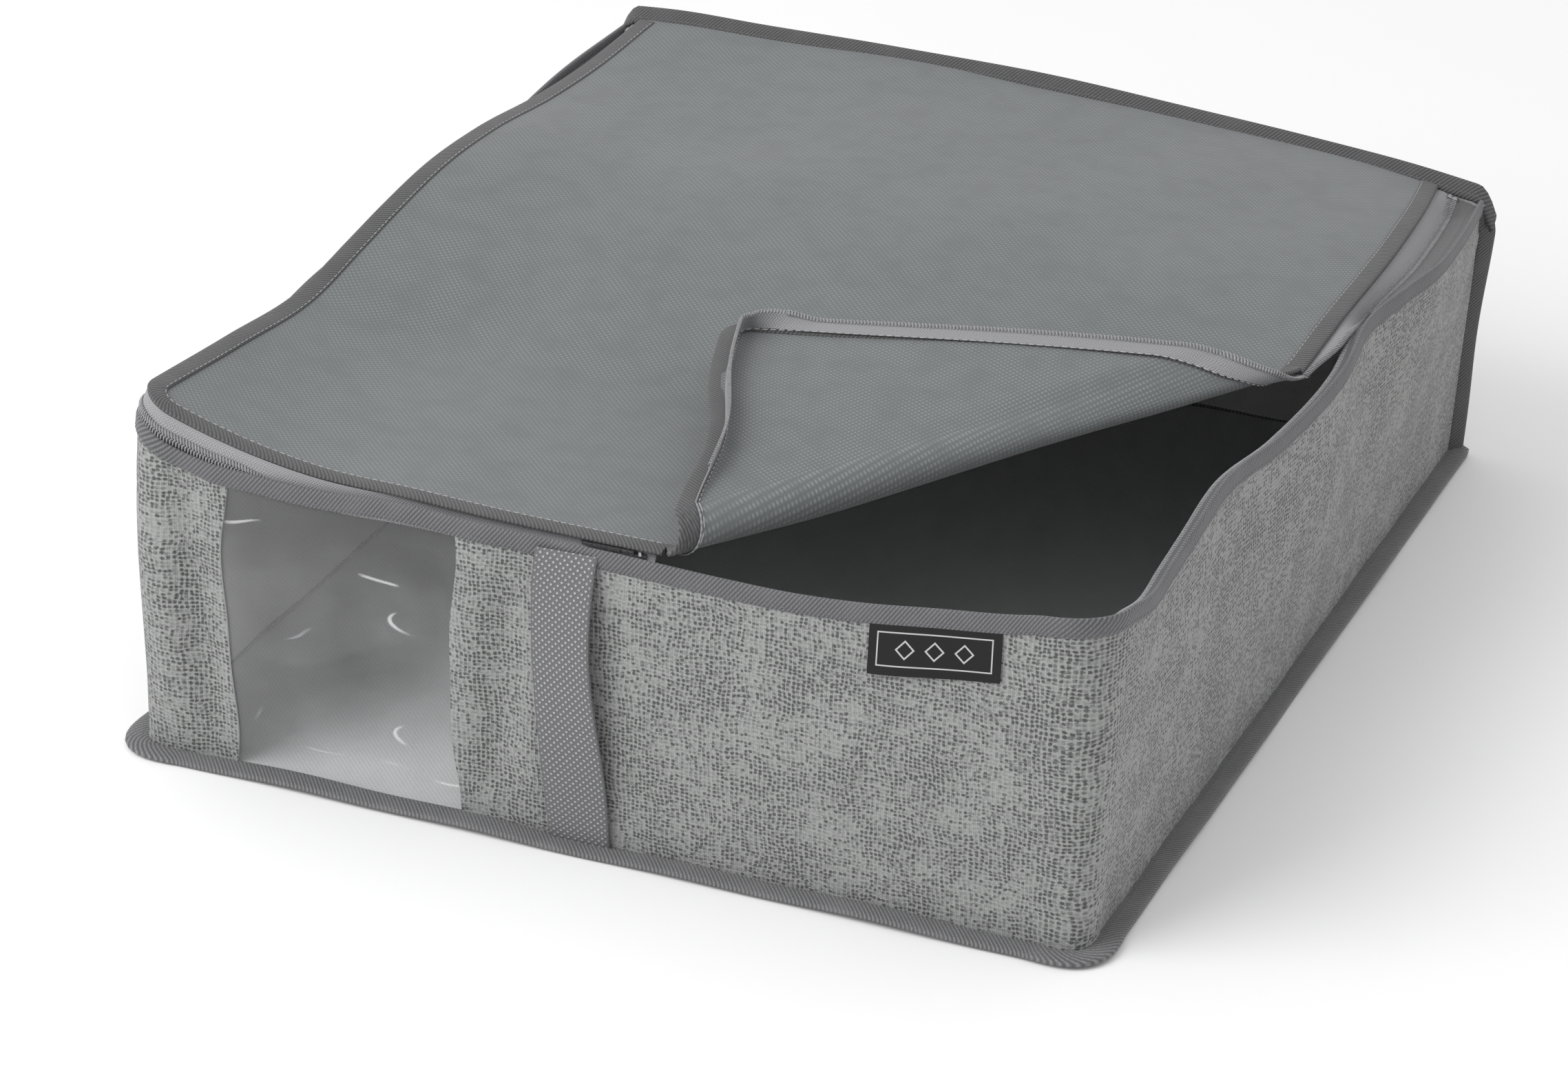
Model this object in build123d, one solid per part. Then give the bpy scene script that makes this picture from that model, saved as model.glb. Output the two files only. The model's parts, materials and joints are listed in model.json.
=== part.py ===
"""Soft under-bed storage box: a sewn fabric tray with a clear window, a carrying strap and a zipped lid.

Millimetres, +Z up, origin at the centre of the base on the floor. The front, with the window, faces -Y.
The lid is drawn with the zip undone round the front right corner and that corner folded back over the lid.
"""

from build123d import *
from math import sqrt
import os

# ---- driving dimensions -------------------------------------------------------------------------
WIDTH = 410.0  # over the side walls, along X
DEPTH = 485.0  # over the front and back walls, along Y
RIM_TOP = 136.0  # top of the bound rim
CORNER_R = 18.0  # outside radius of the upright front corners

FABRIC = 0.8  # non-woven sheet
TWILL = 0.7  # binding tape
FILM = 0.4  # clear window
ZIP_TAPE = 0.5
WEBBING = 1.6

# base seam: the base and the walls meet in a flange that a binding tape wraps
FLANGE = 10.0
FLANGE_T = 3.0
FLANGE_CORE = 4.5  # how far the base sheet runs into the flange
BASE_LIFT = 0.7  # the tape's lower leg, under the base sheet

# rim binding
RIM_LEG = 8.0  # how far the tape comes down each face of the wall

# window opening in the front, and how far the film runs behind the fabric
WINDOW_LEFT = -162.0
WINDOW_RIGHT = -62.0
FILM_LAP = 6.0

# carrying strap on the front
STRAP_X = -9.0
STRAP_W = 26.0
STRAP_BOW = 6.5  # slack: how far the middle stands off the wall
STRAP_TAB = 12.0  # sewn length at each end
STRAP_RAMP = 16.0  # height over which the slack builds up

# sewn label below the rim
LABEL_X = 142.0
LABEL_W = 54.0
LABEL_H = 20.0
LABEL_T = 0.6

# zip: everything is set out from its centre line
ZIP_INSET = 7.2  # centre line, in from the outer face of the walls
ZIP_DROP = 6.4  # underside of the zip tape, below the rim
ZIP_GAP = 1.6  # between the two rows of coil, where the sliders' posts run
COIL_W = 2.6
COIL_H = 1.8
COIL_OVERHANG = 1.0  # the coil stands this far past the edge of its tape
ZIP_END = 234.0  # where both runs stop, short of the back wall
STOP_L = 2.5

# lid
LID_RISE = 0.2  # underside of the lid, above the rim
LID_INSET = 7.5  # outer edge of the lid, in from the outer face of the walls; clears the pulls as they swing
BINDING_W = 8.5
LID_BACK_GAP = 0.7  # between the lid's back edge and the seam on the back wall
HINGE_RISE = 2.0  # the lid turns about a line this far above its underside

# folded corner: the fold runs from the front edge to the right edge
FOLD_FRONT_X = 32.0
FOLD_RIGHT_Y = -11.0
FOLD_RISE = 5.3  # the fold's centre line, above the lid's underside
FOLD_ANGLE = 172.5  # how far the corner lies back from closed
FOLD_GAP = 0.5  # sheet and binding stop this far from the fold line, on each side
STRIP_GAP = 8.0  # the zip strip stops this far from the fold line, where it twists over

# sliders and pulls
SLIDER_L = 10.0
SLIDER_HALF_W = 4.4
SLIDER_R = 1.6
PLATE_T = 0.9
PLATE_GAP = 0.3  # running clearance over the coil and under the tape
POST_T = 1.0
LIP_T = 0.5  # the top plate's lip outside the coil
CROWN_NEAR = 1.2  # the crown's two faces, measured from the zip's centre line to the wall
CROWN_FAR = 3.0
CROWN_H = 2.6
CROWN_HALF = 3.2
EYE_HALF = 2.1
PULL_PIN_R = 0.45
PULL_PIN_RISE = 0.85  # the pull's pin, above the top plate
PULL_GAP = 0.3
PULL_ARM_W = 0.8
PULL_ARM_L = 6.0
PULL_L = 22.0
PULL_T = 1.1
PULL_HOLE_R = 1.3
LEFT_SLIDER_X = 14.0  # on the front run
RIGHT_SLIDER_Y = 80.0  # on the right run

# seam fins at the back
FIN = 9.0
FIN_T = 2.6

# ---- derived levels -----------------------------------------------------------------------------
RIM_BOTTOM = RIM_TOP - RIM_LEG
WALL_TOP = RIM_TOP - TWILL
WALL_BOTTOM = BASE_LIFT + FABRIC
WALL_BACK = DEPTH / 2 - FABRIC  # inner face of the back wall
TAPE_Z = RIM_TOP - ZIP_DROP
COIL_Z = TAPE_Z + ZIP_TAPE
LID_Z = RIM_TOP + LID_RISE
LID_TOP = LID_Z + FABRIC
LID_BACK = WALL_BACK - LID_BACK_GAP
HINGE_Z = LID_Z + HINGE_RISE
FAR = 100.0  # reach of trimming blocks

# insets of the two rows of coil, from the outer face of the walls
BODY_COIL = ZIP_INSET - ZIP_GAP / 2 - COIL_W
LID_COIL = ZIP_INSET + ZIP_GAP / 2
LID_TAPE = LID_COIL + COIL_OVERHANG
LID_TAPE_LEG = LID_COIL + COIL_W + PLATE_GAP


# ---- shapes used by several pieces --------------------------------------------------------------
def block(x0, x1, y0, y1, z0, z1):
    """A box between two opposite corners."""
    return Pos((x0 + x1) / 2, (y0 + y1) / 2, (z0 + z1) / 2) * Box(x1 - x0, y1 - y0, z1 - z0)


def tray_outline(inset, y_back):
    """The box's plan, set in by inset, with round front corners and a straight back edge at y_back."""
    half = WIDTH / 2 - inset
    front = -DEPTH / 2 + inset
    radius = max(CORNER_R - inset, LIP_T)
    long = y_back + FAR - front
    plan = Pos(0, front + long / 2) * RectangleRounded(2 * half, long, radius)
    return plan - Pos(0, y_back + FAR) * Rectangle(2 * WIDTH, 2 * FAR)


def slab(inset, y_back, z0, z1):
    """A flat sheet of the box's plan."""
    return Pos(0, 0, z0) * extrude(tray_outline(inset, y_back), amount=z1 - z0)


def three_sided(outer, inner, y_back, z0, z1):
    """A strip along the left, front and right sides, between two insets."""
    return slab(outer, y_back, z0, z1) - slab(inner, y_back + 1, z0 - 1, z1 + 1)


def four_sided(outer, inner, z0, z1):
    """A strip round all four sides; a negative inset stands outside the walls."""
    return slab(outer, DEPTH / 2 - outer, z0, z1) - slab(inner, DEPTH / 2 - inner, z0 - 1, z1 + 1)


# ---- the fold across the lid's corner -----------------------------------------------------------
ZIP_FRONT_Y = -DEPTH / 2 + ZIP_INSET
ZIP_RIGHT_X = WIDTH / 2 - ZIP_INSET
FOLD_START = Vector(FOLD_FRONT_X, ZIP_FRONT_Y, LID_Z + FOLD_RISE)
FOLD_END = Vector(ZIP_RIGHT_X, FOLD_RIGHT_Y, LID_Z + FOLD_RISE)
FOLD_DIRECTION = (FOLD_END - FOLD_START).normalized()
FOLD_AXIS = Axis(FOLD_START, FOLD_DIRECTION)


def corner_cutter(gap):
    """A block that covers the lid's front right corner, up to gap from the fold line."""
    outward = FOLD_DIRECTION.cross(Vector(0, 0, 1))
    plane = Plane(origin=FOLD_START + outward * gap, x_dir=FOLD_DIRECTION, z_dir=(0, 0, 1))
    reach = WIDTH + DEPTH
    return plane * Pos(0, -reach / 2, 0) * Box(2 * reach, reach, 2 * FAR)


def split_at_fold(shape, gap):
    """(the part that stays with the lid, the corner part folded back to where it rests)."""
    stays = shape - corner_cutter(-gap)
    corner = shape & corner_cutter(gap)
    return stays, corner.rotate(FOLD_AXIS, -FOLD_ANGLE)


# ---- base and walls -----------------------------------------------------------------------------
def base_panel():
    return slab(-FLANGE_CORE, DEPTH / 2 + FLANGE_CORE, BASE_LIFT, BASE_LIFT + FABRIC)


def base_binding():
    """The tape round the base seam: one ring that wraps the edge of the base sheet."""
    return four_sided(-FLANGE, 0, 0, FLANGE_T) - base_panel()


def wall_strip():
    """Left, front and right walls as one bent strip."""
    return three_sided(0, FABRIC, WALL_BACK, WALL_BOTTOM, WALL_TOP)


def side_wall_left():
    return wall_strip() & block(-WIDTH, WINDOW_LEFT, -DEPTH, DEPTH, 0, RIM_TOP)


def side_wall_right():
    return wall_strip() & block(WINDOW_RIGHT, WIDTH, -DEPTH, DEPTH, 0, RIM_TOP)


def window_film():
    face = -DEPTH / 2 + FABRIC
    x0, x1 = WINDOW_LEFT - FILM_LAP, WINDOW_RIGHT + FILM_LAP
    return block(x0, x1, face, face + FILM, WALL_BOTTOM, WALL_TOP - RIM_LEG)


def back_wall():
    return block(-WIDTH / 2, WIDTH / 2, WALL_BACK, DEPTH / 2, WALL_BOTTOM, WALL_TOP)


def rim_binding():
    """Tape folded over the top of the three walls."""
    tape = three_sided(-TWILL, FABRIC + TWILL, WALL_BACK, RIM_BOTTOM, RIM_TOP)
    return tape - three_sided(0, FABRIC, WALL_BACK + 1, 0, WALL_TOP)


def back_corner_binding(side):
    """Upright bound seam that points out diagonally at a back corner; side is -1 left or +1 right."""
    fin = Pos(FIN / 2, 0, (FLANGE_T + WALL_TOP) / 2) * Box(FIN, FIN_T, WALL_TOP - FLANGE_T)
    fin = Pos(side * WIDTH / 2, DEPTH / 2, 0) * Rot(0, 0, 45 if side > 0 else 135) * fin
    return fin - block(-WIDTH / 2 - TWILL, WIDTH / 2 + TWILL, -DEPTH, DEPTH / 2, 0, 2 * RIM_TOP)


def back_top_binding():
    """Bound seam between the back wall and the lid: it sits on the wall's top edge and leans back."""
    reach, thick = FIN / sqrt(2), FIN_T / sqrt(2)
    inner, outer = (WALL_BACK, WALL_TOP), (DEPTH / 2, WALL_TOP)
    tip_low = (DEPTH / 2 + reach, WALL_TOP + reach)
    tip_high = (tip_low[0] - thick, tip_low[1] + thick)
    root = (WALL_BACK, tip_high[1] - tip_high[0] + WALL_BACK)
    profile = Plane.YZ * make_face(Polyline(inner, outer, tip_low, tip_high, root, close=True))
    return Pos(-WIDTH / 2, 0, 0) * extrude(profile, amount=WIDTH)


# ---- zip ----------------------------------------------------------------------------------------
def body_zip_tape():
    """Angle-shaped tape: one leg sewn inside the rim, the other carries the body's coil."""
    outer = FABRIC + TWILL
    upright = three_sided(outer, outer + ZIP_TAPE, ZIP_END, RIM_BOTTOM, TAPE_Z)
    ledge = three_sided(outer, BODY_COIL + COIL_W - COIL_OVERHANG, ZIP_END, TAPE_Z, COIL_Z)
    return upright + ledge


def body_zip_coil():
    return three_sided(BODY_COIL, BODY_COIL + COIL_W, ZIP_END, COIL_Z, COIL_Z + COIL_H)


def lid_zip_tape():
    """Angle-shaped tape: the foot carries the lid's coil, the leg is sewn under the lid."""
    foot = three_sided(LID_TAPE, LID_TAPE_LEG + ZIP_TAPE, ZIP_END, TAPE_Z, COIL_Z)
    leg = three_sided(LID_TAPE_LEG, LID_TAPE_LEG + ZIP_TAPE, ZIP_END, COIL_Z, LID_Z)
    return foot + leg


def lid_zip_coil():
    return three_sided(LID_COIL, LID_COIL + COIL_W, ZIP_END, COIL_Z, COIL_Z + COIL_H)


def end_stops(inset):
    """The crimped stops at both ends of one row of coil."""
    x0, x1 = WIDTH / 2 - inset - COIL_W, WIDTH / 2 - inset
    right = block(x0, x1, ZIP_END, ZIP_END + STOP_L, TAPE_Z, COIL_Z + COIL_H)
    return right + mirror(right, about=Plane.YZ)


# ---- lid ----------------------------------------------------------------------------------------
def lid_panel():
    return slab(LID_INSET, LID_BACK, LID_Z, LID_TOP)


def lid_binding():
    return three_sided(LID_INSET, LID_INSET + BINDING_W, LID_BACK, LID_TOP, LID_TOP + TWILL)


# ---- sliders ------------------------------------------------------------------------------------
BOTTOM_PLATE = TAPE_Z - PLATE_GAP - PLATE_T
TOP_PLATE = COIL_Z + COIL_H + PLATE_GAP
SLIDER_TOP = TOP_PLATE + PLATE_T
PULL_Z = SLIDER_TOP + PULL_PIN_RISE


def slider():
    """A slider along X, with the wall on its +Y side. Its top plate covers only the wall's row of coil."""
    half = SLIDER_L / 2
    inner = half - SLIDER_R
    bottom = block(-half, half, -SLIDER_HALF_W, SLIDER_HALF_W, BOTTOM_PLATE, BOTTOM_PLATE + PLATE_T)
    bottom = fillet(bottom.edges().filter_by(Axis.Z), SLIDER_R)
    post = block(-inner, inner, -POST_T / 2, POST_T / 2, BOTTOM_PLATE + PLATE_T, TOP_PLATE)
    top = block(-half, half, -POST_T / 2, SLIDER_HALF_W, TOP_PLATE, SLIDER_TOP)
    top = fillet(top.edges().filter_by(Axis.Z).sort_by(Axis.Y)[-2:], SLIDER_R)
    lip = block(-inner, inner, SLIDER_HALF_W - LIP_T, SLIDER_HALF_W, COIL_Z + LIP_T, TOP_PLATE)
    arch = block(-CROWN_HALF, CROWN_HALF, CROWN_NEAR, CROWN_FAR, SLIDER_TOP, SLIDER_TOP + CROWN_H)
    arch = fillet(arch.edges().filter_by(Axis.Y).sort_by(Axis.Z)[-2:], SLIDER_R / 2)
    eye = block(-EYE_HALF, EYE_HALF, 0, SLIDER_HALF_W, SLIDER_TOP, SLIDER_TOP + CROWN_H - PULL_ARM_W)
    return bottom + post + top + lip + (arch - eye)


def pull():
    """A pull that lies along -X from its pin; the pin runs through the slider's crown along Y."""
    near, far = CROWN_NEAR - PULL_GAP, CROWN_FAR + PULL_GAP
    low, high = near - PULL_ARM_W, far + PULL_ARM_W
    z0, z1 = PULL_Z - PULL_T / 2, PULL_Z + PULL_T / 2
    pin = Pos(0, (low + high) / 2, PULL_Z) * Rot(90, 0, 0) * Cylinder(PULL_PIN_R, high - low)
    near_arm = block(-PULL_ARM_L, PULL_T / 2, low, near, z0, z1)
    far_arm = block(-PULL_ARM_L, PULL_T / 2, far, high, z0, z1)
    tab = block(-PULL_L, -PULL_ARM_L + PULL_ARM_W, low, high + PULL_ARM_W, z0, z1)
    tab = fillet(tab.edges().filter_by(Axis.Z).sort_by(Axis.X)[:2], SLIDER_R)
    hole_at = Pos(-PULL_L + 3 * PULL_HOLE_R, (low + high + PULL_ARM_W) / 2, PULL_Z)
    hole = hole_at * Cylinder(PULL_HOLE_R, 2 * PULL_T)
    return pin + near_arm + far_arm + (tab - hole)


def on_front(shape):
    """Places a slider or pull on the front run: its +Y side turns to the front wall."""
    return Pos(LEFT_SLIDER_X, ZIP_FRONT_Y, 0) * mirror(shape, about=Plane.XZ)


def on_right(shape):
    """Places a slider or pull on the right run: its +Y side turns to the right wall."""
    return Pos(ZIP_RIGHT_X, RIGHT_SLIDER_Y, 0) * Rot(0, 0, -90) * shape


# ---- strap and label ----------------------------------------------------------------------------
def carrying_strap():
    """A length of webbing, sewn flat at both ends with slack between them."""
    face = -DEPTH / 2
    low, high = FLANGE_T, RIM_BOTTOM
    stations = [
        (0, low),
        (0, low + STRAP_TAB),
        (STRAP_BOW, low + STRAP_TAB + STRAP_RAMP),
        (STRAP_BOW, high - STRAP_TAB - STRAP_RAMP),
        (0, high - STRAP_TAB),
        (0, high),
    ]
    inner = [(face - out, z) for out, z in stations]
    outer = [(face - out - WEBBING, z) for out, z in reversed(stations)]
    profile = Plane.YZ * make_face(Polyline(*inner, *outer, close=True))
    return Pos(STRAP_X - STRAP_W / 2, 0, 0) * extrude(profile, amount=STRAP_W)


def side_label():
    face = -DEPTH / 2
    x0, x1 = LABEL_X - LABEL_W / 2, LABEL_X + LABEL_W / 2
    return block(x0, x1, face - LABEL_T, face, RIM_BOTTOM - LABEL_H, RIM_BOTTOM)


# ---- write every piece --------------------------------------------------------------------------
def main():
    panel, corner_panel = split_at_fold(lid_panel(), FOLD_GAP)
    binding, corner_binding = split_at_fold(lid_binding(), FOLD_GAP)
    tape, corner_tape = split_at_fold(lid_zip_tape(), STRIP_GAP)
    coil, corner_coil = split_at_fold(lid_zip_coil(), STRIP_GAP)
    pieces = {
        "base_panel": base_panel(),
        "base_binding": base_binding(),
        "side_wall_left": side_wall_left(),
        "side_wall_right": side_wall_right(),
        "back_wall": back_wall(),
        "window_film": window_film(),
        "rim_binding": rim_binding(),
        "back_corner_binding_left": back_corner_binding(-1),
        "back_corner_binding_right": back_corner_binding(1),
        "back_top_binding": back_top_binding(),
        "body_zip_tape": body_zip_tape(),
        "body_zip_coil": body_zip_coil(),
        "body_zip_stops": end_stops(BODY_COIL),
        "carrying_strap": carrying_strap(),
        "side_label": side_label(),
        "lid_panel": panel,
        "lid_binding": binding,
        "lid_zip_tape": tape,
        "lid_zip_coil": coil,
        "lid_zip_stops": end_stops(LID_COIL),
        "corner_panel": corner_panel,
        "corner_binding": corner_binding,
        "corner_zip_tape": corner_tape,
        "corner_zip_coil": corner_coil,
        "left_slider": on_front(slider()),
        "left_pull": on_front(pull()),
        "right_slider": on_right(slider()),
        "right_pull": on_right(pull()),
    }
    os.makedirs("parts", exist_ok=True)
    for name, shape in pieces.items():
        export_step(shape, f"parts/{name}.step")
    print("fold axis through", tuple(FOLD_START), "along", tuple(FOLD_DIRECTION))
    print("lid hinge at y", LID_BACK, "z", HINGE_Z)
    print("left pull's pin at", LEFT_SLIDER_X, ZIP_FRONT_Y, PULL_Z)
    print("right pull's pin at", ZIP_RIGHT_X, RIGHT_SLIDER_Y, PULL_Z)


main()
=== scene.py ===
"""Fabric under bed box with a folded back corner: the looks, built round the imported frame.

Shapes are worked out in millimetres in the frame's own axes and put into the meshes in metres.
"""

import json
import math

import bpy
import numpy as np
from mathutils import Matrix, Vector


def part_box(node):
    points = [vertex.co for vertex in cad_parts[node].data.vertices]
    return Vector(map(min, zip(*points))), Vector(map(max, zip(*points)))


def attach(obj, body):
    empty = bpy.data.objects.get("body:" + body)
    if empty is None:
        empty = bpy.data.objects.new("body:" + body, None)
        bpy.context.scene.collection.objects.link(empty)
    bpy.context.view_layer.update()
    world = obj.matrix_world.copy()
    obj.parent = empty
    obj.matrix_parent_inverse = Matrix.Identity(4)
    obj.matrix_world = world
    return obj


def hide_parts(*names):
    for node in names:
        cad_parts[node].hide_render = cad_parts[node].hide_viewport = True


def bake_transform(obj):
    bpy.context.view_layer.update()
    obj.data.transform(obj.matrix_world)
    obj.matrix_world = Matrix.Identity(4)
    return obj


scene = bpy.context.scene
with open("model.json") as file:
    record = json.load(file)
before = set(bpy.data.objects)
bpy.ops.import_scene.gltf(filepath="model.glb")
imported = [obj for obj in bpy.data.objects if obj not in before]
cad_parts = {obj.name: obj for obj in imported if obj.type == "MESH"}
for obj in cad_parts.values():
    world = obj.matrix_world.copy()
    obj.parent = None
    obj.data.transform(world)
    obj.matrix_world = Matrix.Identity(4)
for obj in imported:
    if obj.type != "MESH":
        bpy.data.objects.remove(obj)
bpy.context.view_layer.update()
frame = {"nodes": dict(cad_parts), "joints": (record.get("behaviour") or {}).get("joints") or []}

MM = 0.001
UP = np.array([0.0, 0.0, 1.0])

# ---- sizes from the frame


def mm_box(node):
    """Lowest and highest corner of a frame node, in millimetres."""
    low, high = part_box(node)
    return np.array(low) / MM, np.array(high) / MM


right_low, right_high = mm_box("side_wall_right")
back_high = mm_box("back_wall")[1]
ring_high = mm_box("base_binding")[1]
strap_low, strap_high = mm_box("carrying_strap")
label_low, label_high = mm_box("side_label")
film_low, film_high = mm_box("window_film")

WALL_X = right_high[0]
FRONT_Y = right_low[1]
BACK_Y = back_high[1]
CORNER_R = 18.0
BASE_R = 7.0
FABRIC = 0.8
FLANGE = ring_high[0] - WALL_X
FLANGE_T = ring_high[2]
FILM_TUCK = 6.0
WINDOW = (film_low[0] + FILM_TUCK, film_high[0] - FILM_TUCK)

fold = next(j for j in frame["joints"] if j["name"] == "corner_fold")
FOLD_AT = np.array(fold["pos_m"]) / MM
FOLD_ALONG = np.array(fold["axis"])
FOLD_OUT = np.array([FOLD_ALONG[1], -FOLD_ALONG[0], 0.0])
FOLD_TURN = math.radians(fold["range_deg"][1])

TURN_LENGTH = CORNER_R * np.pi / 2
LEFT_RUN = BACK_Y - FRONT_Y - CORNER_R
FRONT_RUN = 2 * (WALL_X - CORNER_R)


def on_left(y):
    """Distance along the wall line of a place on the left wall."""
    return BACK_Y - y


def on_front(x):
    """Distance along the wall line of a place on the front."""
    return LEFT_RUN + TURN_LENGTH + x + WALL_X - CORNER_R


def on_right(y):
    """Distance along the wall line of a place on the right wall."""
    return LEFT_RUN + 2 * TURN_LENGTH + FRONT_RUN + y - FRONT_Y - CORNER_R


WALL_END = on_right(BACK_Y)
SPLIT_X = 26.0
SPLIT_Y = 12.0
TAPE_W = 8.5
TAPE_T = 2.3
CLOTH_IN = 5.0
RING_STEP = 2.5
RING_OUT = FLANGE / 2 - 0.5
CORNER_PUSH = 5.0

# ---- curves and surfaces


def cubic(t, a, b, slope_a, slope_b):
    """Cubic from a at t of 0 to b at t of 1, with the given slopes at its ends."""
    rise = a * (1 + 2 * t) * (1 - t) ** 2 + b * t * t * (3 - 2 * t)
    return rise + slope_a * t * (1 - t) ** 2 + slope_b * t * t * (t - 1)


def through(keys, at):
    """Smooth curve through (place, value) keys: cubics between them, with the mean slope at each key."""
    places, values = np.array(keys, float).T
    slopes = np.gradient(values, places)
    i = np.clip(np.searchsorted(places, at) - 1, 0, len(places) - 2)
    step = places[i + 1] - places[i]
    t = np.clip((at - places[i]) / step, 0, 1)
    return cubic(t, values[i], values[i + 1], step * slopes[i], step * slopes[i + 1])


def ease(t):
    """0 before 0, 1 after 1, and an S curve between: 3t squared less 2t cubed."""
    t = np.clip(t, 0, 1)
    return t * t * (3 - 2 * t)


def xyz(*parts):
    """Arrays of coordinates put together as points or vectors."""
    return np.stack(parts, -1)


def unit(v):
    """Each vector over its own length."""
    return v / np.maximum(np.linalg.norm(v, axis=-1, keepdims=True), 1e-9)


def bell(at, middle, width):
    """Bell curve: e to the power of minus the square of the distance from its middle over its width."""
    return np.exp(-(((at - middle) / width) ** 2))


def arch(v):
    """Half sine: 0 at 0 and 1, and 1 halfway."""
    return np.sin(np.pi * v)


def plan(s):
    """Wall line in plan: the left run, a quarter arc, the front run, a quarter arc, the right run.
    Gives x, y and the outward normal at each distance s from the back left corner."""
    first = np.clip((s - LEFT_RUN) / TURN_LENGTH, 0, 1) * np.pi / 2 + np.pi
    second = np.clip((s - LEFT_RUN - TURN_LENGTH - FRONT_RUN) / TURN_LENGTH, 0, 1) * np.pi / 2 + 1.5 * np.pi
    left = np.clip(s, 0, LEFT_RUN)
    front = np.clip(s - LEFT_RUN - TURN_LENGTH, 0, FRONT_RUN)
    right = np.clip(s - LEFT_RUN - 2 * TURN_LENGTH - FRONT_RUN, 0, None)
    x = -WALL_X + CORNER_R * (np.cos(first) + 1 + np.cos(second)) + front
    y = BACK_Y - left + CORNER_R * (np.sin(first) + np.sin(second) + 1) + right
    facing = first + second - 1.5 * np.pi
    return x, y, np.cos(facing), np.sin(facing)


def round_keys(left, front, right):
    """Keys along the wall line, from (y, value), (x, value) and (y, value) keys of its three sides."""
    keys = [(on_left(y), value) for y, value in left]
    keys += [(on_front(x), value) for x, value in front]
    return keys + [(on_right(y), value) for y, value in right]


RIM_KEYS = round_keys(
    [(243, 145), (179, 146), (128, 145), (67, 144), (16, 143), (-40, 143), (-80, 142), (-130, 140),
     (-180, 143), (-222, 148)],
    [(-200, 149), (-188, 143), (-169, 138), (-146, 136), (-124, 135), (-84, 136.5), (-51, 135), (13, 134),
     (54, 133), (83, 133), (112, 135), (141, 139), (169, 143), (190, 147)],
    [(-222, 145), (-200, 140.5), (-170, 140.5), (-145, 142.5), (-104, 145), (-47, 140), (22, 141), (66, 144),
     (105, 143), (140, 141), (200, 135), (243, 129)],
)
LEAN_KEYS = round_keys(
    [(243, 4), (160, 5), (90, 2), (10, 1), (-70, 5), (-120, 3), (-200, 2)],
    [(-190, 2), (-100, 1), (60, 1), (170, 2)],
    [(-203, 7), (-170, 5), (-145, 4.5), (-104, 3.5), (-47, 8), (22, 12), (70, 8.5), (107, 13), (140, 17),
     (180, 15), (243, 7)],
)
INSET_KEYS = round_keys(
    [(243, 4), (160, 3), (-170, 2)],
    [(-190, 1), (-110, 2), (-40, 3), (150, 3)],
    [(-222, 5), (-190, 6.5), (-40, 5), (30, 2), (90, 1.5), (165, 4.5), (210, 8.5), (243, 13)],
)


def rim_height(s):
    """Height of the walls' top edge along the wall line."""
    return through(RIM_KEYS, s)


def corner_push(s):
    """How far the base's seams stand out past the wall line's arcs: a bell curve at the middle of each."""
    first = LEFT_RUN + TURN_LENGTH / 2
    second = first + TURN_LENGTH + FRONT_RUN
    return CORNER_PUSH * (bell(s, first, 9) + bell(s, second, 9))


def wall(s, v):
    """Wall cloth at distance s and share v of its height: the wall line, moved out along its normal by the
    rim's lean times v to the power 1.4, a belly that is a half sine of v, folds that are sines along s, and
    at the front corners the push of the base seam, less towards the rim."""
    x, y, nx, ny = plan(s)
    belly = 2.0 + 2.5 * bell(s, on_right(-20), 120) - 3.0 * bell(s, on_front(-112), 60)
    folds = 3.0 * bell(s, on_front(-180), 26) * np.sin(s / 5.2 + 2.5 * v) * arch(v) ** 0.6
    folds = folds + 2.2 * bell(s, on_front(-45), 28) * np.sin(s / 6.1 - 2.2 * v + 1.0) * arch(v) ** 0.6
    folds = folds + 0.9 * np.sin(s / 37 + 1.7 * np.sin(2.4 * v + s / 90)) * arch(v)
    out = through(LEAN_KEYS, s) * np.clip(v, 0, 2) ** 1.4 + belly * arch(np.clip(v, 0, 1)) + folds
    out = out + corner_push(s) * np.clip(1 - v, 0, 1) ** 0.7
    return xyz(x + nx * out, y + ny * out, v * rim_height(s))


LID_LEFT_KEYS = [
    (-240, 160), (-165, 153), (-103, 148), (-60, 153), (-26, 157), (16, 160), (67, 158), (128, 151),
    (179, 148), (241, 149),
]
LID_FRONT_KEYS = [
    (-202, 160), (-185, 153.5), (-169, 148.5), (-146, 143), (-124, 139.6), (-84, 138), (-51, 136.4),
    (13, 135.6), (60, 135.8), (198, 137),
]
LID_RIGHT_KEYS = [(-240, 137), (5, 139), (66, 143), (105, 142), (130, 140.5), (180, 137), (241, 131)]
SEAM_KEYS = [
    (-212, 148), (-184, 149.5), (-142, 149), (-72, 149.5), (-3, 148.5), (64, 144), (130, 139.5), (179, 134.5),
    (214, 129),
]
LID_LOW_X, LID_HIGH_X, LID_LOW_Y, LID_HIGH_Y = -202.0, 199.0, -239.5, 241.0


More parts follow.
